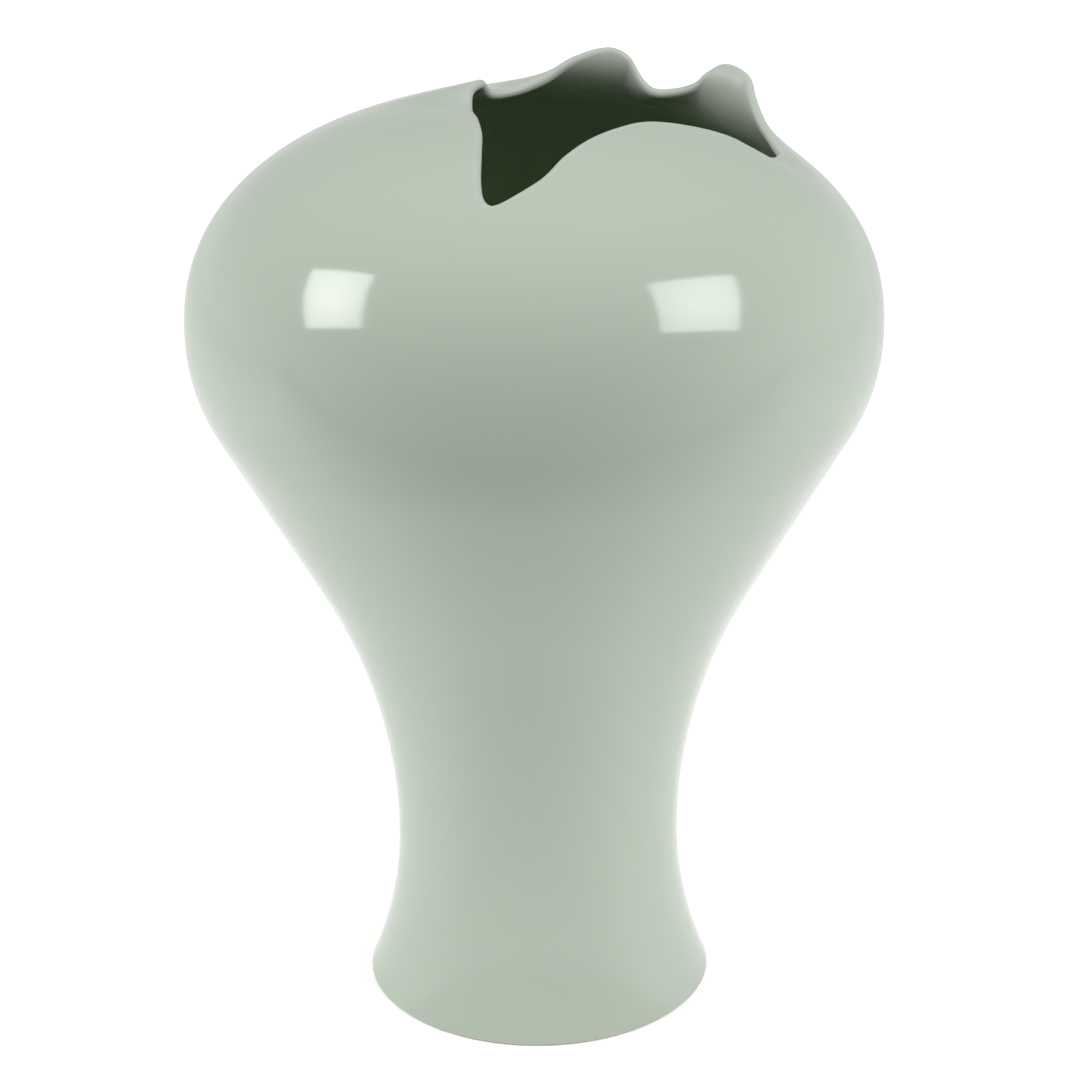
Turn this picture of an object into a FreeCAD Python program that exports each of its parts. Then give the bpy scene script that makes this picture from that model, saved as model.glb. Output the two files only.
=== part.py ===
import FreeCAD, Part
import math
import os

from FreeCAD import Vector

# Driving dimensions, in millimetres and degrees. The origin is the centre of the foot, on the table.

# outline of the body, from the foot up to the belly
BELLY_RADIUS = 108.0
WAIST_RADIUS = 46.4
WAIST_HEIGHT = 52.2
FOOT_CURVE = 133.0
FLANK_CURVE = 182.0
FLANK_LEAN = 29.5
BELLY_CURVE = 59.0

# domed shoulder above the belly, as if it closed over the mouth
DOME_RISE = 70.0
DOME_FULLNESS = 2.23

# clay
WALL = 5.0
LIP_WALL = 3.0
LIP_TAPER_SHARE = 0.55
SLIP_THICKNESS = 0.8

# foot and floor
FLOOR_THICKNESS = 7.0
RECESS_DEPTH = 4.0
RECESS_CHAMFER = 1.0
FOOT_RING_WIDTH = 9.0
FOOT_CHAMFER = 0.8
BASE_GLAZE_THICKNESS = 0.5

# torn mouth
WAVE_HEIGHT = 17.0
WAVE_START_SHARE = 0.7
WAVE_FLARE_SHARE = 1.4

# broad bands that the potter's fingers leave inside
LOWER_BANDS = 8
UPPER_BANDS = 14

# rings that the shoulder is drawn through
RING_POINTS = 72
OUTER_RINGS = 14
LIP_RINGS = 3

# The line of the mouth, anticlockwise from its right-hand corner. Each row is one place on it: the turn, in
# degrees, of the clay line that climbs to it from the belly, then its x and y as shares of the belly's radius
# and its rise above the dome as a share of the waves' height.
mouth_shares = (
    (0, 0.702, -0.068, 0.00),
    (9, 0.690, 0.000, 0.08),
    (18, 0.660, 0.058, 0.26),
    (26, 0.637, 0.122, 0.53),
    (33, 0.628, 0.183, 0.74),
    (41, 0.598, 0.228, 0.84),
    (49, 0.560, 0.265, 0.82),
    (56, 0.515, 0.285, 0.60),
    (63, 0.475, 0.300, 0.38),
    (70, 0.420, 0.315, 0.20),
    (77, 0.360, 0.325, 0.10),
    (84, 0.323, 0.335, 0.23),
    (92, 0.283, 0.345, 0.54),
    (100, 0.230, 0.345, 0.65),
    (108, 0.165, 0.335, 0.57),
    (116, 0.095, 0.315, 0.40),
    (124, 0.030, 0.290, 0.13),
    (132, -0.045, 0.260, -0.05),
    (140, -0.118, 0.205, -0.06),
    (147, -0.148, 0.155, 0.17),
    (155, -0.182, 0.090, 0.10),
    (166, -0.182, -0.005, -0.12),
    (180, -0.162, -0.140, -0.12),
    (196, -0.150, -0.290, -0.08),
    (212, -0.150, -0.440, -0.04),
    (228, -0.150, -0.590, 0.00),
    (239, -0.138, -0.662, 0.00),
    (247, -0.105, -0.690, 0.00),
    (256, -0.048, -0.663, 0.00),
    (267, 0.035, -0.588, 0.00),
    (278, 0.096, -0.480, 0.00),
    (289, 0.162, -0.378, 0.00),
    (300, 0.238, -0.285, 0.00),
    (311, 0.320, -0.193, -0.02),
    (322, 0.435, -0.140, -0.04),
    (334, 0.550, -0.132, -0.03),
    (346, 0.650, -0.135, -0.10),
)

lean = math.radians(FLANK_LEAN)
waist_end_radius = WAIST_RADIUS + FLANK_CURVE * (1 - math.cos(lean))
waist_end_height = WAIST_HEIGHT + FLANK_CURVE * math.sin(lean)
belly_start_radius = BELLY_RADIUS - BELLY_CURVE * (1 - math.cos(lean))
belly_start_height = waist_end_height + (belly_start_radius - waist_end_radius) / math.tan(lean)
belly_height = belly_start_height + BELLY_CURVE * math.sin(lean)
dome_bottom = belly_height + SLIP_THICKNESS
floor_top = RECESS_DEPTH + FLOOR_THICKNESS
foot_rise = WAIST_HEIGHT - FOOT_CHAMFER
foot_radius = WAIST_RADIUS + FOOT_CURVE - math.sqrt(FOOT_CURVE**2 - foot_rise**2)
recess_radius = foot_radius - FOOT_CHAMFER - FOOT_RING_WIDTH


def at(radius, height):
    """A point of the section through the axis."""
    return Vector(radius, 0, height)


def on_arc(centre, radius, angle):
    """A point of an arc in the section, at an angle above the outward direction."""
    return centre + Vector(radius * math.cos(angle), 0, radius * math.sin(angle))


def arc(centre, radius, start, end):
    """An arc of the section, from one angle to another. As a spline its surface takes fewer facets."""
    middle = (start + end) / 2
    points = (on_arc(centre, radius, angle) for angle in (start, middle, end))
    return Part.Arc(*points).toBSpline().toShape()


def wall_line(depth, bottom):
    """The body's outline at a depth inside the outer surface, from the bottom up to the belly ring."""
    foot_centre = at(WAIST_RADIUS + FOOT_CURVE, WAIST_HEIGHT)
    flank_centre = at(WAIST_RADIUS + FLANK_CURVE, WAIST_HEIGHT)
    belly_centre = at(BELLY_RADIUS - BELLY_CURVE, belly_height)
    foot_curve = FOOT_CURVE + depth
    flank_curve = FLANK_CURVE + depth
    belly_curve = BELLY_CURVE - depth
    foot_angle = math.pi + math.asin((WAIST_HEIGHT - bottom) / foot_curve)
    foot = arc(foot_centre, foot_curve, foot_angle, math.pi)
    flank = arc(flank_centre, flank_curve, math.pi, math.pi - lean)
    straight_start = on_arc(flank_centre, flank_curve, math.pi - lean)
    straight_end = on_arc(belly_centre, belly_curve, -lean)
    straight = Part.makeLine(straight_start, straight_end)
    belly = arc(belly_centre, belly_curve, -lean, 0)
    return [foot, flank, straight, belly]


def joined(points):
    """Straight edges through points."""
    return [Part.makeLine(a, b) for a, b in zip(points, points[1:])]


def turned(edges):
    """The solid that a closed section makes when it is turned round the axis."""
    section = Part.Face(Part.Wire(edges))
    return section.revolve(Vector(0, 0, 0), Vector(0, 0, 1), 360)


def lower_body():
    """Foot, waist, flank and belly, thrown as one open form with a recess turned under its floor."""
    outside = wall_line(0, FOOT_CHAMFER)
    bands = Part.Wire(wall_line(WALL, floor_top)).discretize(Number=LOWER_BANDS + 1)
    corners = [
        at(0, floor_top),
        at(0, RECESS_DEPTH),
        at(recess_radius, RECESS_DEPTH),
        at(recess_radius, RECESS_CHAMFER),
        at(recess_radius + RECESS_CHAMFER, 0),
        at(foot_radius - FOOT_CHAMFER, 0),
        at(foot_radius, FOOT_CHAMFER),
    ]
    rim = [at(BELLY_RADIUS, belly_height), bands[-1]]
    return turned(joined(bands[::-1] + corners) + outside + joined(rim))


def luting_slip():
    """The ring of slip between the two sections."""
    ring = Part.makeCylinder(BELLY_RADIUS, SLIP_THICKNESS, at(0, belly_height))
    bore = Part.makeCylinder(BELLY_RADIUS - WALL, SLIP_THICKNESS, at(0, belly_height))
    return ring.cut(bore)


def base_glaze():
    """The glaze in the recess under the foot."""
    bottom = at(0, RECESS_DEPTH - BASE_GLAZE_THICKNESS)
    return Part.makeCylinder(recess_radius, BASE_GLAZE_THICKNESS, bottom)


def smooth(rows, turn):
    """The values of a closed table of rows at a turn: a curve through all the rows that keeps its slope."""
    count = len(rows)
    after = next((i for i, row in enumerate(rows) if row[0] > turn), count)
    near = []
    for i in range(after - 2, after + 2):
        row = rows[i % count]
        near.append((row[0] + 360 * (i // count),) + row[1:])
    (t0, *p0), (t1, *p1), (t2, *p2), (t3, *p3) = near
    span = t2 - t1
    u = (turn - t1) / span
    values = []
    for a, b, c, d in zip(p0, p1, p2, p3):
        slope_b = (c - a) / (t2 - t0) * span
        slope_c = (d - b) / (t3 - t1) * span
        values.append(
            b * (2 * u**3 - 3 * u**2 + 1)
            + slope_b * (u**3 - 2 * u**2 + u)
            + c * (3 * u**2 - 2 * u**3)
            + slope_c * (u**3 - u**2)
        )
    return values


def dome_height(radius):
    """The height of the closed dome that the shoulder follows."""
    share = min(radius / BELLY_RADIUS, 1)
    return dome_bottom + DOME_RISE * (1 - share**DOME_FULLNESS) ** (1 / DOME_FULLNESS)


def shoulder_point(turn, rise):
    """A point of the shoulder's outer surface, from the belly ring at rise 0 to the mouth at rise 1.

    The clay line follows the dome inwards. Under a wave it slows, turns up and leans out again to the lip.
    """
    x_share, y_share, lift_share = smooth(mouth_shares, turn % 360)
    wave_share = max(lift_share, 0)
    angle = math.radians(turn)
    ring = Vector(math.cos(angle), math.sin(angle), 0) * BELLY_RADIUS
    inward = Vector(x_share, y_share, 0) * BELLY_RADIUS - ring
    direct = 1 - math.cos(rise * math.pi / 2)
    slowed = math.sin(rise * math.pi / 2) ** 2
    progress = direct + (slowed - direct) * wave_share
    late = max(0, (rise - WAVE_START_SHARE) / (1 - WAVE_START_SHARE))
    flare = WAVE_FLARE_SHARE * WAVE_HEIGHT * wave_share * late**2 * (1 - late)
    place = ring + inward * progress + inward.normalize() * flare
    height = dome_height(place.Length) + WAVE_HEIGHT * lift_share * late**2
    return Vector(place.x, place.y, height)


def across(turn, rise):
    """The outward normal and the direction towards the lip, at a place on the shoulder."""
    step = 1 / OUTER_RINGS**2
    low = max(rise - step, 0)
    high = min(rise + step, 1)
    up = shoulder_point(turn, high) - shoulder_point(turn, low)
    around = shoulder_point(turn + 1, rise) - shoulder_point(turn - 1, rise)
    outward = around.cross(up).normalize()
    lipward = outward.cross(around).normalize()
    return outward, lipward


def wall_at(rise):
    """The clay's thickness, which thins towards the lip."""
    thinning = max(0, (rise - LIP_TAPER_SHARE) / (1 - LIP_TAPER_SHARE))
    return WALL + (LIP_WALL - WALL) * thinning


def outer_line(turn):
    """The outside of the upper section along one clay line, from the seam to the lip."""
    rises = [i / OUTER_RINGS for i in range(1, OUTER_RINGS + 1)]
    return [seam_point(turn, BELLY_RADIUS)] + [shoulder_point(turn, rise) for rise in rises]


def lip_line(turn):
    """The half round of the lip, between its outer and its inner edge."""
    outward, lipward = across(turn, 1)
    radius = LIP_WALL / 2
    centre = shoulder_point(turn, 1) - outward * radius
    angles = [math.pi * i / (LIP_RINGS + 1) for i in range(1, LIP_RINGS + 1)]
    return [centre + (outward * math.cos(a) + lipward * math.sin(a)) * radius for a in angles]


def inner_line(turn):
    """The inside of the upper section along one clay line, from the lip down to the seam."""
    rises = [i / UPPER_BANDS for i in range(UPPER_BANDS, 0, -1)]
    points = [shoulder_point(turn, rise) - across(turn, rise)[0] * wall_at(rise) for rise in rises]
    return points + [seam_point(turn, BELLY_RADIUS - WALL)]


def seam_point(turn, radius):
    """A point on the upper section's seat."""
    angle = math.radians(turn)
    return Vector(radius * math.cos(angle), radius * math.sin(angle), dome_bottom)


def upper_body():
    """Belly ring, domed shoulder and torn mouth: one loft up the outside, over the lip and down the inside."""
    turns = [360 * i / RING_POINTS for i in range(RING_POINTS)]
    lines = [outer_line(turn) + lip_line(turn) + inner_line(turn) for turn in turns]
    rings = []
    for points in zip(*lines):
        ring = Part.BSplineCurve()
        ring.interpolate(Points=points, PeriodicFlag=True, Parameters=turns + [360])
        rings.append(Part.Wire(ring.toShape()))
    skin = Part.makeLoft(rings, False, True)
    seat = Part.makeFace([rings[0], rings[-1]], "Part::FaceMakerBullseye")
    shell = Part.makeShell(skin.Faces + [seat])
    shell.sewShape()
    solid = Part.makeSolid(Part.Shell(shell.Faces))
    if solid.Volume < 0:
        solid.reverse()
    return solid


os.makedirs("parts", exist_ok=True)
pieces = {
    "lower_body": lower_body(),
    "luting_slip": luting_slip(),
    "upper_body": upper_body(),
    "base_glaze": base_glaze(),
}
for name, shape in pieces.items():
    shape.exportStep("parts/" + name + ".step")
    print(name, shape.isValid(), round(shape.Volume), shape.BoundBox)
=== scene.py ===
import math

import bmesh
import bpy
from mathutils import Matrix, Vector


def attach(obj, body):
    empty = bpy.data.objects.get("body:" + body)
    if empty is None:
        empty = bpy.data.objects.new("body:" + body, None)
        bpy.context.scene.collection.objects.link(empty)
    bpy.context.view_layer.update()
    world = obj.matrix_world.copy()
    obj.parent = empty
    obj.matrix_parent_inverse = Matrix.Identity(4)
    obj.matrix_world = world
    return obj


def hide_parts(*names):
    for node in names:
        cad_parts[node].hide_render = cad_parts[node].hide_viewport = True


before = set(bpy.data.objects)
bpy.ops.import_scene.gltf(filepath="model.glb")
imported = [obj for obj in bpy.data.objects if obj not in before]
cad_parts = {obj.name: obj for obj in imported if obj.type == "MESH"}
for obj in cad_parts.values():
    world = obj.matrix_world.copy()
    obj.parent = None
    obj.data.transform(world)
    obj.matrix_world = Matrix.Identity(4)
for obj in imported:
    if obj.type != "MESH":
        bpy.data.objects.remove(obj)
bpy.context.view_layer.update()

# Sizes in metres and degrees, the same as the CAD source's.

# outline of the body, from the foot up to the belly
BELLY_RADIUS = 0.108
WAIST_RADIUS = 0.0464
WAIST_HEIGHT = 0.0522
FOOT_CURVE = 0.133
FLANK_CURVE = 0.182
FLANK_LEAN = 29.5
BELLY_CURVE = 0.059

# domed shoulder above the belly, as if it closed over the mouth
DOME_RISE = 0.070
DOME_FULLNESS = 2.23

# clay
WALL = 0.005
LIP_WALL = 0.003
LIP_TAPER_SHARE = 0.55
SLIP_THICKNESS = 0.0008

# foot and floor
FLOOR_THICKNESS = 0.007
RECESS_DEPTH = 0.004
RECESS_CHAMFER = 0.001
FOOT_RING_WIDTH = 0.009
FOOT_CHAMFER = 0.0008
BASE_GLAZE_THICKNESS = 0.0005
INNER_CORNER = 0.006

# torn mouth
WAVE_HEIGHT = 0.017
WAVE_START_SHARE = 0.7
WAVE_FLARE_SHARE = 1.4

# The line of the mouth, anticlockwise from its right-hand corner. Each row is one place on it: the turn, in
# degrees, of the clay line that climbs to it from the belly, then its x and y as shares of the belly's radius
# and its rise above the dome as a share of the waves' height.
mouth_shares = (
    (0, 0.702, -0.068, 0.00),
    (9, 0.690, 0.000, 0.08),
    (18, 0.660, 0.058, 0.26),
    (26, 0.637, 0.122, 0.53),
    (33, 0.628, 0.183, 0.74),
    (41, 0.598, 0.228, 0.84),
    (49, 0.560, 0.265, 0.82),
    (56, 0.515, 0.285, 0.60),
    (63, 0.475, 0.300, 0.38),
    (70, 0.420, 0.315, 0.20),
    (77, 0.360, 0.325, 0.10),
    (84, 0.323, 0.335, 0.23),
    (92, 0.283, 0.345, 0.54),
    (100, 0.230, 0.345, 0.65),
    (108, 0.165, 0.335, 0.57),
    (116, 0.095, 0.315, 0.40),
    (124, 0.030, 0.290, 0.13),
    (132, -0.045, 0.260, -0.05),
    (140, -0.118, 0.205, -0.06),
    (147, -0.148, 0.155, 0.17),
    (155, -0.182, 0.090, 0.10),
    (166, -0.182, -0.005, -0.12),
    (180, -0.162, -0.140, -0.12),
    (196, -0.150, -0.290, -0.08),
    (212, -0.150, -0.440, -0.04),
    (228, -0.150, -0.590, 0.00),
    (239, -0.138, -0.662, 0.00),
    (247, -0.105, -0.690, 0.00),
    (256, -0.048, -0.663, 0.00),
    (267, 0.035, -0.588, 0.00),
    (278, 0.096, -0.480, 0.00),
    (289, 0.162, -0.378, 0.00),
    (300, 0.238, -0.285, 0.00),
    (311, 0.320, -0.193, -0.02),
    (322, 0.435, -0.140, -0.04),
    (334, 0.550, -0.132, -0.03),
    (346, 0.650, -0.135, -0.10),
)

# rows and turns of the glazed skin, and the gap within which two of its points are one
TURNS = 288
WALL_ROWS = 16
SHOULDER_ROWS = 56
BEND_ROWS = 6
INNER_ROWS = 36
SAME_POINT = 0.000005

# the step round the body, in degrees, over which the slope of a surface is taken
SLOPE_TURN = 1

# height of the surface relief, and its strength
GLAZE_RIPPLE = 0.0003
CLAY_GRAIN = 0.0002
RIPPLE_STRENGTH = 0.35
POOL_STRENGTH = 0.3
GRAIN_STRENGTH = 0.4

# fineness of each texture, in features to the metre
CLOUD_SCALE = 14
RIPPLE_SCALE = 26
POOL_SCALE = 40
SHEEN_SCALE = 60
GRAIN_SCALE = 900

# roughness of each surface, from 0 for a mirror to 1 for chalk
GLAZE_ROUGHNESS = (0.07, 0.13)
POOL_ROUGHNESS = 0.16
CLAY_ROUGHNESS = 0.85
CARD_ROUGHNESS = 0.9
CARD_SHINE = 0.1

# depth of glaze, from 0 where it is drawn thin to 1 where it pools
BODY_GLAZE = 0.5
LIP_GLAZE = 0.0
INSIDE_GLAZE = 1.0
THIN_GLAZE_SHARE = 0.94
MOTTLE = 0.22
DULL_GLAZE = 0.35

# colours: the glaze from thin to deep, then bare clay and pooled glaze from dark spots to light ones
celadon_colours = (
    (0.00, (0.455, 0.495, 0.435)),
    (0.38, (0.440, 0.500, 0.420)),
    (0.58, (0.425, 0.495, 0.408)),
    (1.00, (0.385, 0.540, 0.290)),
)
clay_colours = ((0.35, (0.50, 0.45, 0.38)), (0.65, (0.66, 0.62, 0.54)))
pool_colours = ((0.3, (0.38, 0.47, 0.38)), (0.7, (0.45, 0.53, 0.44)))

# camera, from the ellipses of the foot and the belly in the photo
PHOTO_WIDTH = 1080
CAMERA_DISTANCE = 0.800
CAMERA_HEIGHT = 0.4527
CAMERA_PITCH = 20.587
CAMERA_ROLL = 0.477
CAMERA_LENS = 88.91
AXIS_LEFT_OF_CENTRE = 4

# studio: each soft box stands at a turn from the front towards the right, and at a rise above the belly, and
# its cloth is brighter in the middle than in the corners
SOFTBOX_DISTANCE = 1.0
SOFTBOX_TARGET = 0.250
LEFT_SOFTBOX = {"turn": -74.3, "rise": 30.8, "width": 0.36, "height": 0.50, "twist": 31, "brightness": 7.7}
RIGHT_SOFTBOX = {"turn": 60.4, "rise": 33.4, "width": 0.47, "height": 0.50, "twist": -24, "brightness": 6.6}
SOFTBOX_MIDDLE = 1.35
SOFTBOX_EDGE = 0.85
CLOTH_MIDDLE = (0.5, 0.5, 0)
CLOTH_CORNER = math.sqrt(0.5)

# the table, its whiteness with a painted shade on its front edge that only the glaze mirrors, and the glow
# that it has for the camera and for the glaze
TABLE_FRONT = 0.36
TABLE_HALF_WIDTH = 3.0
TABLE_BACK = 3.0
TABLE_SHADE_FROM = 0.06
TABLE_WHITE = 0.96
TABLE_FRONT_SHADE = 0.88
SEEN_GLOW_NEAR = 0.20
SEEN_GLOW_FAR = 0.46
SEEN_GLOW_REACH = 1.4
MIRRORED_GLOW_NEAR = 0.26
MIRRORED_GLOW_REACH = 0.7

# the room's light, and the white that the glaze mirrors at the horizon
BRIGHT_SIDE = (0, 0.19, 0.98)
LIGHT_BRIGHT_SIDE = 0.78
LIGHT_DIM_SIDE = 0.04
LIGHT_FROM_BEHIND = 0.64
MIRRORED_WHITE = 0.68
MIRRORED_FRONT = 0.20

lean = math.radians(FLANK_LEAN)
waist_end_radius = WAIST_RADIUS + FLANK_CURVE * (1 - math.cos(lean))
waist_end_height = WAIST_HEIGHT + FLANK_CURVE * math.sin(lean)
belly_start_radius = BELLY_RADIUS - BELLY_CURVE * (1 - math.cos(lean))
belly_start_height = waist_end_height + (belly_start_radius - waist_end_radius) / math.tan(lean)
belly_height = belly_start_height + BELLY_CURVE * math.sin(lean)
dome_bottom = belly_height + SLIP_THICKNESS
floor_top = RECESS_DEPTH + FLOOR_THICKNESS
foot_rise = WAIST_HEIGHT - FOOT_CHAMFER
foot_radius = WAIST_RADIUS + FOOT_CURVE - math.sqrt(FOOT_CURVE**2 - foot_rise**2)
recess_radius = foot_radius - FOOT_CHAMFER - FOOT_RING_WIDTH


def between(start, end, count):
    """Values from start to end in even steps, both ends among them."""
    return [start + (end - start) * i / count for i in range(count + 1)]


def arc(centre_radius, centre_height, radius, start, end, rows):
    """Radius and height along an arc of the section, from one angle to another."""
    angles = between(start, end, rows)
    return [(centre_radius + radius * math.cos(a), centre_height + radius * math.sin(a)) for a in angles]


def wall_line(depth, bottom):
    """The body's outline at a depth inside the outer surface, from the bottom up to the belly ring."""
    foot_curve = FOOT_CURVE + depth
    flank_curve = FLANK_CURVE + depth
    belly_curve = BELLY_CURVE - depth
    foot_angle = math.pi + math.asin((WAIST_HEIGHT - bottom) / foot_curve)
    foot = arc(WAIST_RADIUS + FOOT_CURVE, WAIST_HEIGHT, foot_curve, foot_angle, math.pi, WALL_ROWS)
    flank = arc(WAIST_RADIUS + FLANK_CURVE, WAIST_HEIGHT, flank_curve, math.pi, math.pi - lean, WALL_ROWS)
    belly = arc(BELLY_RADIUS - BELLY_CURVE, belly_height, belly_curve, -lean, 0, WALL_ROWS)
    (start_radius, start_height), (end_radius, end_height) = flank[-1], belly[0]
    straight = zip(between(start_radius, end_radius, WALL_ROWS), between(start_height, end_height, WALL_ROWS))
    return foot + flank[1:] + list(straight)[1:] + belly[1:]


def smooth(rows, turn):
    """The values of a closed table of rows at a turn: a curve through all the rows that keeps its slope."""
    count = len(rows)
    after = next((i for i, row in enumerate(rows) if row[0] > turn), count)
    near = []
    for i in range(after - 2, after + 2):
        row = rows[i % count]
        near.append((row[0] + 360 * (i // count),) + row[1:])
    (t0, *p0), (t1, *p1), (t2, *p2), (t3, *p3) = near
    span = t2 - t1
    u = (turn - t1) / span
    values = []
    for a, b, c, d in zip(p0, p1, p2, p3):
        slope_b = (c - a) / (t2 - t0) * span
        slope_c = (d - b) / (t3 - t1) * span
        values.append(
            b * (2 * u**3 - 3 * u**2 + 1)
            + slope_b * (u**3 - 2 * u**2 + u)
            + c * (3 * u**2 - 2 * u**3)
            + slope_c * (u**3 - u**2)
        )
    return values


def dome_height(radius):
    """The height of the closed dome that the shoulder follows."""
    share = min(radius / BELLY_RADIUS, 1)
    return dome_bottom + DOME_RISE * (1 - share**DOME_FULLNESS) ** (1 / DOME_FULLNESS)


def shoulder_point(turn, rise):
    """A point of the shoulder's outer surface, from the belly ring at rise 0 to the mouth at rise 1.

    The clay line follows the dome inwards. Under a wave it slows, turns up and leans out again to the lip.
    """
    x_share, y_share, lift_share = smooth(mouth_shares, turn % 360)
    wave_share = max(lift_share, 0)
    angle = math.radians(turn)
    ring = Vector((math.cos(angle), math.sin(angle), 0)) * BELLY_RADIUS
    inward = Vector((x_share, y_share, 0)) * BELLY_RADIUS - ring
    direct = 1 - math.cos(rise * math.pi / 2)
    slowed = math.sin(rise * math.pi / 2) ** 2
    progress = direct + (slowed - direct) * wave_share
    late = max(0, (rise - WAVE_START_SHARE) / (1 - WAVE_START_SHARE))
    flare = WAVE_FLARE_SHARE * WAVE_HEIGHT * wave_share * late**2 * (1 - late)
    place = ring + inward * progress + inward.normalized() * flare
    height = dome_height(place.length) + WAVE_HEIGHT * lift_share * late**2
    return Vector((place.x, place.y, height))


def across(turn, rise):
    """The outward normal and the direction towards the lip, at a place on the shoulder."""
    step = 1 / SHOULDER_ROWS
    low = max(rise - step, 0)
    high = min(rise + step, 1)
    up = shoulder_point(turn, high) - shoulder_point(turn, low)
    around = shoulder_point(turn + SLOPE_TURN, rise) - shoulder_point(turn - SLOPE_TURN, rise)
    outward = around.cross(up).normalized()
    lipward = outward.cross(around).normalized()
    return outward, lipward


def wall_at(rise):
    """The clay's thickness, which thins towards the lip."""
    thinning = max(0, (rise - LIP_TAPER_SHARE) / (1 - LIP_TAPER_SHARE))
    return WALL + (LIP_WALL - WALL) * thinning


def round_the_axis(section, turn):
    """Points of a section through the axis, brought to a turn."""
    angle = math.radians(turn)
    beam = Vector((math.cos(angle), math.sin(angle), 0))
    return [beam * radius + Vector((0, 0, height)) for radius, height in section]


def shoulder_line(turn):
    """The glazed shoulder along one clay line: up the outside, over the lip and down the inside."""
    outside = [shoulder_point(turn, rise) for rise in between(0, 1, SHOULDER_ROWS)]
    outward, lipward = across(turn, 1)
    radius = LIP_WALL / 2
    centre = outside[-1] - outward * radius
    angles = between(0, math.pi, BEND_ROWS)[1:-1]
    lip = [centre + (outward * math.cos(a) + lipward * math.sin(a)) * radius for a in angles]
    rises = between(1, 0, INNER_ROWS)[:-1]
    inside = [shoulder_point(turn, rise) - across(turn, rise)[0] * wall_at(rise) for rise in rises]
    return outside, lip, inside


def inner_section():
    """The inside of the body, from the belly ring down to the rounded corner and the middle of the floor."""
    corner_height = floor_top + INNER_CORNER
    wall = wall_line(WALL, corner_height)
    corner_radius = wall[0][0] - INNER_CORNER
    corner = arc(corner_radius, corner_height, INNER_CORNER, -math.pi / 2, 0, BEND_ROWS)
    floor = [(radius, floor_top) for radius in between(0, corner_radius, BEND_ROWS)]
    return (floor + corner[1:] + wall[1:])[::-1]


def glaze_depth_towards_lip(rise):
    """How deep the glaze lies on the shoulder: it draws thin over the edge of the lip."""
    thinned = max(0, (rise - THIN_GLAZE_SHARE) / (1 - THIN_GLAZE_SHARE))
    return BODY_GLAZE + (LIP_GLAZE - BODY_GLAZE) * thinned**2


def skin(name, lines, depths):
    """A smooth mesh through lines of points, one line for each turn, joined all the way round."""
    mesh = bmesh.new()
    depth_layer = mesh.verts.layers.float.new("glaze_depth")
    columns = []
    for line in lines:
        column = [mesh.verts.new(point) for point in line]
        for vertex, depth in zip(column, depths):
            vertex[depth_layer] = depth
        columns.append(column)
    for left, right in zip(columns, columns[1:] + columns[:1]):
        for low in range(len(left) - 1):
            mesh.faces.new((left[low], right[low], right[low + 1], left[low + 1]))
    bmesh.ops.remove_doubles(mesh, verts=mesh.verts, dist=SAME_POINT)
    for face in mesh.faces:
        face.smooth = True
    data = bpy.data.meshes.new(name)
    mesh.to_mesh(data)
    mesh.free()
    piece = bpy.data.objects.new(name, data)
    bpy.context.scene.collection.objects.link(piece)
    return piece


def glazed_vessel():
    """The whole glazed surface in one run: foot, belly, shoulder, lip and the inside down to the floor."""
    outer_section = wall_line(0, FOOT_CHAMFER)
    lower_inside = inner_section()
    lines = []
    for turn in between(0, 360, TURNS)[:-1]:
        outside, lip, inside = shoulder_line(turn)
        body = round_the_axis(outer_section, turn)
        lines.append(body + outside + lip + inside + round_the_axis(lower_inside, turn))
    depths = [BODY_GLAZE] * len(outer_section)
    depths += [glaze_depth_towards_lip(rise) for rise in between(0, 1, SHOULDER_ROWS)]
    depths += [LIP_GLAZE] * (BEND_ROWS - 1)
    depths += between(LIP_GLAZE, INSIDE_GLAZE, INNER_ROWS)[:-1]
    depths += [INSIDE_GLAZE] * len(lower_inside)
    return skin("glazed_vessel", lines, depths)


def foot_ring():
    """The bare ring of clay that the vase stands on, from the glaze's edge outside to the recess inside."""
    section = [
        (recess_radius, RECESS_DEPTH - BASE_GLAZE_THICKNESS),
        (recess_radius, RECESS_CHAMFER),
        (recess_radius + RECESS_CHAMFER, 0),
        (foot_radius - FOOT_CHAMFER, 0),
        (foot_radius, FOOT_CHAMFER),
    ]
    lines = [round_the_axis(section, turn) for turn in between(0, 360, TURNS)[:-1]]
    return skin("bare_foot_ring", lines, [LIP_GLAZE] * len(section))


def material(name):
    """An empty procedural material, with its nodes, its links and its main shader."""
    made = bpy.data.materials.new(name)
    made.use_nodes = True
    nodes = made.node_tree.nodes
    return made, nodes, made.node_tree.links, nodes["Principled BSDF"]


def node(nodes, kind, values):
    """A shader node with values set on its named sockets."""
    made = nodes.new(kind)
    for socket, value in values.items():
        made.inputs[socket].default_value = value
    return made


def value_range(nodes, start, end, values):
    """A node that turns a value between two limits into another between the pair of values given."""
    limits = {"From Min": start, "From Max": end, "To Min": values[0], "To Max": values[1]}
    return node(nodes, "ShaderNodeMapRange", limits)


def sum_of(nodes, links, operation, *values):
    """The output of one sum on plain numbers and on other nodes' outputs."""
    made = nodes.new("ShaderNodeMath")
    made.operation = operation
    for socket, value in zip(made.inputs, values):
        if isinstance(value, bpy.types.NodeSocket):
            links.new(value, socket)
        else:
            socket.default_value = value
    return made.outputs[0]


def seen_directly(nodes, links, path):
    """A socket that is 1 for rays from the camera, also through glass."""
    return sum_of(nodes, links, "MAXIMUM", path.outputs["Is Camera Ray"], path.outputs["Is Transmission Ray"])


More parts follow.
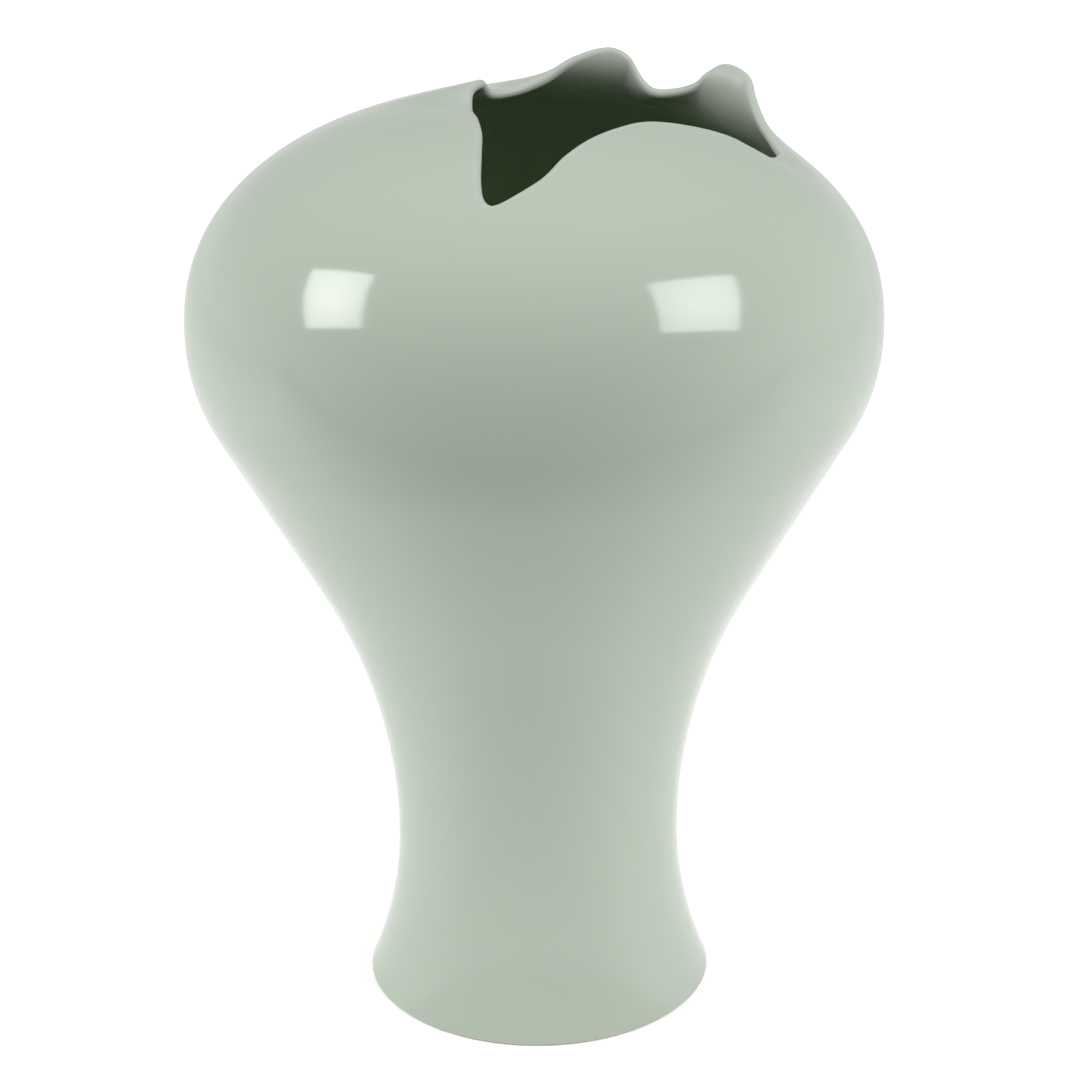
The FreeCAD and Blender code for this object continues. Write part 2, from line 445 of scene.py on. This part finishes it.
def ramp(nodes, stops):
    """A colour ramp through (place, colour) stops."""
    made = nodes.new("ShaderNodeValToRGB")
    elements = made.color_ramp.elements
    for element, (place, colour) in zip(elements, (stops[0], stops[-1])):
        element.position = place
        element.color = (*colour, 1)
    for place, colour in stops[1:-1]:
        elements.new(place).color = (*colour, 1)
    return made


def celadon_glaze():
    """Pale grey-green glaze, mottled: greyer and duller where thin on the lip, deeper where it gathers."""
    made, nodes, links, shader = material("celadon_glaze")
    place = nodes.new("ShaderNodeTexCoord")
    depth = nodes.new("ShaderNodeAttribute")
    depth.attribute_name = "glaze_depth"
    clouds = node(nodes, "ShaderNodeTexNoise", {"Scale": CLOUD_SCALE, "Detail": 3, "Roughness": 0.55})
    colours = ramp(nodes, celadon_colours)
    links.new(place.outputs["Object"], clouds.inputs["Vector"])
    mottled = sum_of(nodes, links, "MULTIPLY_ADD", clouds.outputs["Fac"], MOTTLE, depth.outputs["Fac"])
    links.new(sum_of(nodes, links, "SUBTRACT", mottled, MOTTLE / 2), colours.inputs["Fac"])
    links.new(colours.outputs["Color"], shader.inputs["Base Color"])
    sheen_spots = node(nodes, "ShaderNodeTexNoise", {"Scale": SHEEN_SCALE, "Detail": 2})
    gloss = value_range(nodes, 0, 1, GLAZE_ROUGHNESS)
    links.new(place.outputs["Object"], sheen_spots.inputs["Vector"])
    links.new(sheen_spots.outputs["Fac"], gloss.inputs["Value"])
    thinness = sum_of(nodes, links, "SUBTRACT", DULL_GLAZE, depth.outputs["Fac"])
    dullness = sum_of(nodes, links, "MAXIMUM", thinness, 0)
    links.new(sum_of(nodes, links, "ADD", gloss.outputs["Result"], dullness), shader.inputs["Roughness"])
    ripple = node(nodes, "ShaderNodeTexNoise", {"Scale": RIPPLE_SCALE, "Detail": 2})
    relief = node(nodes, "ShaderNodeBump", {"Strength": RIPPLE_STRENGTH, "Distance": GLAZE_RIPPLE})
    links.new(place.outputs["Object"], ripple.inputs["Vector"])
    links.new(ripple.outputs["Fac"], relief.inputs["Height"])
    links.new(relief.outputs["Normal"], shader.inputs["Normal"])
    return made


def bare_clay():
    """Fired clay with no glaze: warm grey, matt and grainy."""
    made, nodes, links, shader = material("bare_clay")
    shader.inputs["Roughness"].default_value = CLAY_ROUGHNESS
    place = nodes.new("ShaderNodeTexCoord")
    grain = node(nodes, "ShaderNodeTexNoise", {"Scale": GRAIN_SCALE, "Detail": 6})
    colours = ramp(nodes, clay_colours)
    relief = node(nodes, "ShaderNodeBump", {"Strength": GRAIN_STRENGTH, "Distance": CLAY_GRAIN})
    links.new(place.outputs["Object"], grain.inputs["Vector"])
    links.new(grain.outputs["Fac"], colours.inputs["Fac"])
    links.new(grain.outputs["Fac"], relief.inputs["Height"])
    links.new(colours.outputs["Color"], shader.inputs["Base Color"])
    links.new(relief.outputs["Normal"], shader.inputs["Normal"])
    return made


def pooled_glaze():
    """The thicker, greener glaze in the recess under the foot, with the fine pits of the kiln."""
    made, nodes, links, shader = material("pooled_glaze")
    shader.inputs["Roughness"].default_value = POOL_ROUGHNESS
    place = nodes.new("ShaderNodeTexCoord")
    clouds = node(nodes, "ShaderNodeTexNoise", {"Scale": POOL_SCALE, "Detail": 4})
    colours = ramp(nodes, pool_colours)
    relief = node(nodes, "ShaderNodeBump", {"Strength": POOL_STRENGTH, "Distance": GLAZE_RIPPLE})
    links.new(place.outputs["Object"], clouds.inputs["Vector"])
    links.new(clouds.outputs["Fac"], colours.inputs["Fac"])
    links.new(clouds.outputs["Fac"], relief.inputs["Height"])
    links.new(colours.outputs["Color"], shader.inputs["Base Color"])
    links.new(relief.outputs["Normal"], shader.inputs["Normal"])
    return made


def studio_floor():
    """A plain white table top that runs back behind the vase, past the top of the picture."""
    mesh = bmesh.new()
    corners = ((-1, -TABLE_FRONT), (1, -TABLE_FRONT), (1, TABLE_BACK), (-1, TABLE_BACK))
    mesh.faces.new([mesh.verts.new((side * TABLE_HALF_WIDTH, y, 0)) for side, y in corners])
    data = bpy.data.meshes.new("studio_floor")
    mesh.to_mesh(data)
    mesh.free()
    floor = bpy.data.objects.new("studio_floor", data)
    bpy.context.scene.collection.objects.link(floor)
    data.materials.append(studio_white())


def studio_white():
    """White card that keeps the vase's shadow, and glows where the lamps hardly reach it."""
    made, nodes, links, shader = material("studio_white")
    shader.inputs["Roughness"].default_value = CARD_ROUGHNESS
    shader.inputs["Specular IOR Level"].default_value = CARD_SHINE
    place = nodes.new("ShaderNodeTexCoord").outputs["Object"]
    path = nodes.new("ShaderNodeLightPath")
    glow = nodes.new("ShaderNodeEmission")
    both = nodes.new("ShaderNodeAddShader")
    links.new(table_white_with_painted_shade(nodes, links, place, path), shader.inputs["Base Color"])
    links.new(table_glow(nodes, links, place, path), glow.inputs["Strength"])
    links.new(shader.outputs[0], both.inputs[0])
    links.new(glow.outputs[0], both.inputs[1])
    links.new(both.outputs[0], nodes["Material Output"].inputs["Surface"])
    return made


def table_white_with_painted_shade(nodes, links, place, path):
    """Even white, except for a painted shade on the front edge that only mirrored rays see, so the glaze
    mirrors it darker, as in front of a dim room.
    """
    sides = nodes.new("ShaderNodeSeparateXYZ")
    # painted shade: for mirrored rays the table's colour darkens towards its front edge
    shade = value_range(nodes, -TABLE_FRONT, -TABLE_SHADE_FROM, (TABLE_FRONT_SHADE, 0))
    links.new(place, sides.inputs[0])
    links.new(sides.outputs["Y"], shade.inputs["Value"])
    mirrored = path.outputs["Is Glossy Ray"]
    mirrored_shade = sum_of(nodes, links, "MULTIPLY", shade.outputs["Result"], mirrored)
    return sum_of(nodes, links, "SUBTRACT", TABLE_WHITE, mirrored_shade)


def table_glow(nodes, links, place, path):
    """The glow that the camera sees rises with the distance from the vase, and the glow mirrored falls."""
    distance = nodes.new("ShaderNodeVectorMath")
    distance.operation = "LENGTH"
    seen_fade = value_range(nodes, 0, SEEN_GLOW_REACH, (SEEN_GLOW_NEAR, SEEN_GLOW_FAR))
    mirrored_fade = value_range(nodes, 0, MIRRORED_GLOW_REACH, (MIRRORED_GLOW_NEAR, 0))
    links.new(place, distance.inputs[0])
    links.new(distance.outputs["Value"], seen_fade.inputs["Value"])
    links.new(distance.outputs["Value"], mirrored_fade.inputs["Value"])
    seen, mirrored = seen_directly(nodes, links, path), path.outputs["Is Glossy Ray"]
    seen_glow = sum_of(nodes, links, "MULTIPLY", seen, seen_fade.outputs["Result"])
    mirrored_glow = sum_of(nodes, links, "MULTIPLY", mirrored, mirrored_fade.outputs["Result"])
    return sum_of(nodes, links, "ADD", seen_glow, mirrored_glow)


def softbox(name, turn, rise, width, height, twist, brightness):
    """A rectangular soft box that faces the vase."""
    lamp = bpy.data.lights.new(name, "AREA")
    lamp.shape = "RECTANGLE"
    lamp.size = width
    lamp.size_y = height
    lamp.energy = brightness * math.pi * width * height
    raised = Matrix.Rotation(math.radians(-rise), 3, "X") @ Vector((0, -1, 0))
    outward = Matrix.Rotation(math.radians(turn), 3, "Z") @ raised
    box = bpy.data.objects.new(name, lamp)
    box.location = Vector((0, 0, SOFTBOX_TARGET)) + outward * SOFTBOX_DISTANCE
    facing = (-outward).to_track_quat("-Z", "Y").to_matrix() @ Matrix.Rotation(math.radians(twist), 3, "Z")
    box.rotation_euler = facing.to_euler()
    box.visible_camera = False
    bpy.context.scene.collection.objects.link(box)
    hot_middle(lamp)


def hot_middle(lamp):
    """A soft box's cloth is brightest in front of its lamp and dimmer towards the edges."""
    lamp.use_nodes = True
    nodes, links = lamp.node_tree.nodes, lamp.node_tree.links
    cloth = nodes.new("ShaderNodeNewGeometry")
    from_middle = nodes.new("ShaderNodeVectorMath")
    from_middle.operation = "DISTANCE"
    from_middle.inputs[1].default_value = CLOTH_MIDDLE
    strength = value_range(nodes, 0, CLOTH_CORNER, (SOFTBOX_MIDDLE, SOFTBOX_EDGE))
    links.new(cloth.outputs["Parametric"], from_middle.inputs[0])
    links.new(from_middle.outputs["Value"], strength.inputs["Value"])
    links.new(strength.outputs["Result"], nodes["Emission"].inputs["Strength"])


def room():
    """The light of the room, brightest overhead and low down behind the vase.

    The glaze mirrors white up to the horizon, dimmer towards the front, and a dark ceiling.
    """
    world = bpy.data.worlds.new("room")
    world.use_nodes = True
    bpy.context.scene.world = world
    nodes, links = world.node_tree.nodes, world.node_tree.links
    towards = nodes.new("ShaderNodeTexCoord")
    direction = nodes.new("ShaderNodeSeparateXYZ")
    path = nodes.new("ShaderNodeLightPath")
    links.new(towards.outputs["Generated"], direction.inputs[0])
    rise = direction.outputs["Z"]
    height = sum_of(nodes, links, "MAXIMUM", rise, 0)
    lowness = sum_of(nodes, links, "SUBTRACT", 1, height)
    white_low_down = sum_of(nodes, links, "MULTIPLY", lowness, lowness)

    towards_bright = nodes.new("ShaderNodeVectorMath")
    towards_bright.operation = "DOT_PRODUCT"
    towards_bright.inputs[1].default_value = BRIGHT_SIDE
    links.new(towards.outputs["Generated"], towards_bright.inputs[0])
    spread = value_range(nodes, -1, 1, (LIGHT_DIM_SIDE, LIGHT_BRIGHT_SIDE))
    links.new(towards_bright.outputs["Value"], spread.inputs["Value"])
    above_horizon = sum_of(nodes, links, "GREATER_THAN", rise, 0)
    horizon = sum_of(nodes, links, "MULTIPLY", white_low_down, above_horizon)
    behind = value_range(nodes, -1, 1, (0, LIGHT_FROM_BEHIND))
    links.new(direction.outputs["Y"], behind.inputs["Value"])
    from_behind = sum_of(nodes, links, "MULTIPLY", horizon, behind.outputs["Result"])
    lit_strength = sum_of(nodes, links, "ADD", from_behind, spread.outputs["Result"])

    mirrored_white = value_range(nodes, -1, 0, (MIRRORED_FRONT, MIRRORED_WHITE))
    links.new(direction.outputs["Y"], mirrored_white.inputs["Value"])
    mirrored = sum_of(nodes, links, "MULTIPLY", white_low_down, mirrored_white.outputs["Result"])
    in_view = seen_directly(nodes, links, path)
    seen_strength = sum_of(nodes, links, "MAXIMUM", mirrored, in_view)
    seen_or_mirrored = sum_of(nodes, links, "MAXIMUM", in_view, path.outputs["Is Glossy Ray"])

    lit = nodes["Background"]
    lit.inputs["Color"].default_value = (1, 1, 1, 1)
    seen = node(nodes, "ShaderNodeBackground", {"Color": (1, 1, 1, 1)})
    mix = nodes.new("ShaderNodeMixShader")
    links.new(lit_strength, lit.inputs["Strength"])
    links.new(seen_strength, seen.inputs["Strength"])
    links.new(seen_or_mirrored, mix.inputs["Fac"])
    links.new(lit.outputs[0], mix.inputs[1])
    links.new(seen.outputs[0], mix.inputs[2])
    links.new(mix.outputs[0], nodes["World Output"].inputs["Surface"])


def camera():
    """The photograph's viewpoint: in front, looking down on the shoulder."""
    lens = bpy.data.cameras.new("camera")
    lens.lens = CAMERA_LENS
    lens.sensor_fit = "HORIZONTAL"
    lens.shift_x = AXIS_LEFT_OF_CENTRE / PHOTO_WIDTH
    eye = bpy.data.objects.new("camera", lens)
    tilt = Matrix.Rotation(math.radians(90 - CAMERA_PITCH), 4, "X")
    roll = Matrix.Rotation(math.radians(-CAMERA_ROLL), 4, "Z")
    eye.matrix_world = Matrix.Translation((0, -CAMERA_DISTANCE, CAMERA_HEIGHT)) @ tilt @ roll
    bpy.context.scene.collection.objects.link(eye)
    bpy.context.scene.camera = eye


glaze = celadon_glaze()
vessel = glazed_vessel()
vessel.data.materials.append(glaze)
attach(vessel, "root")
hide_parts("lower_body", "luting_slip", "upper_body")

ring = foot_ring()
ring.data.materials.append(bare_clay())
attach(ring, "root")

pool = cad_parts["base_glaze"]
pool.data.materials.clear()
pool.data.materials.append(pooled_glaze())

studio_floor()
softbox("left_softbox", **LEFT_SOFTBOX)
softbox("right_softbox", **RIGHT_SOFTBOX)
room()
camera()
bpy.context.scene.view_settings.view_transform = "Standard"
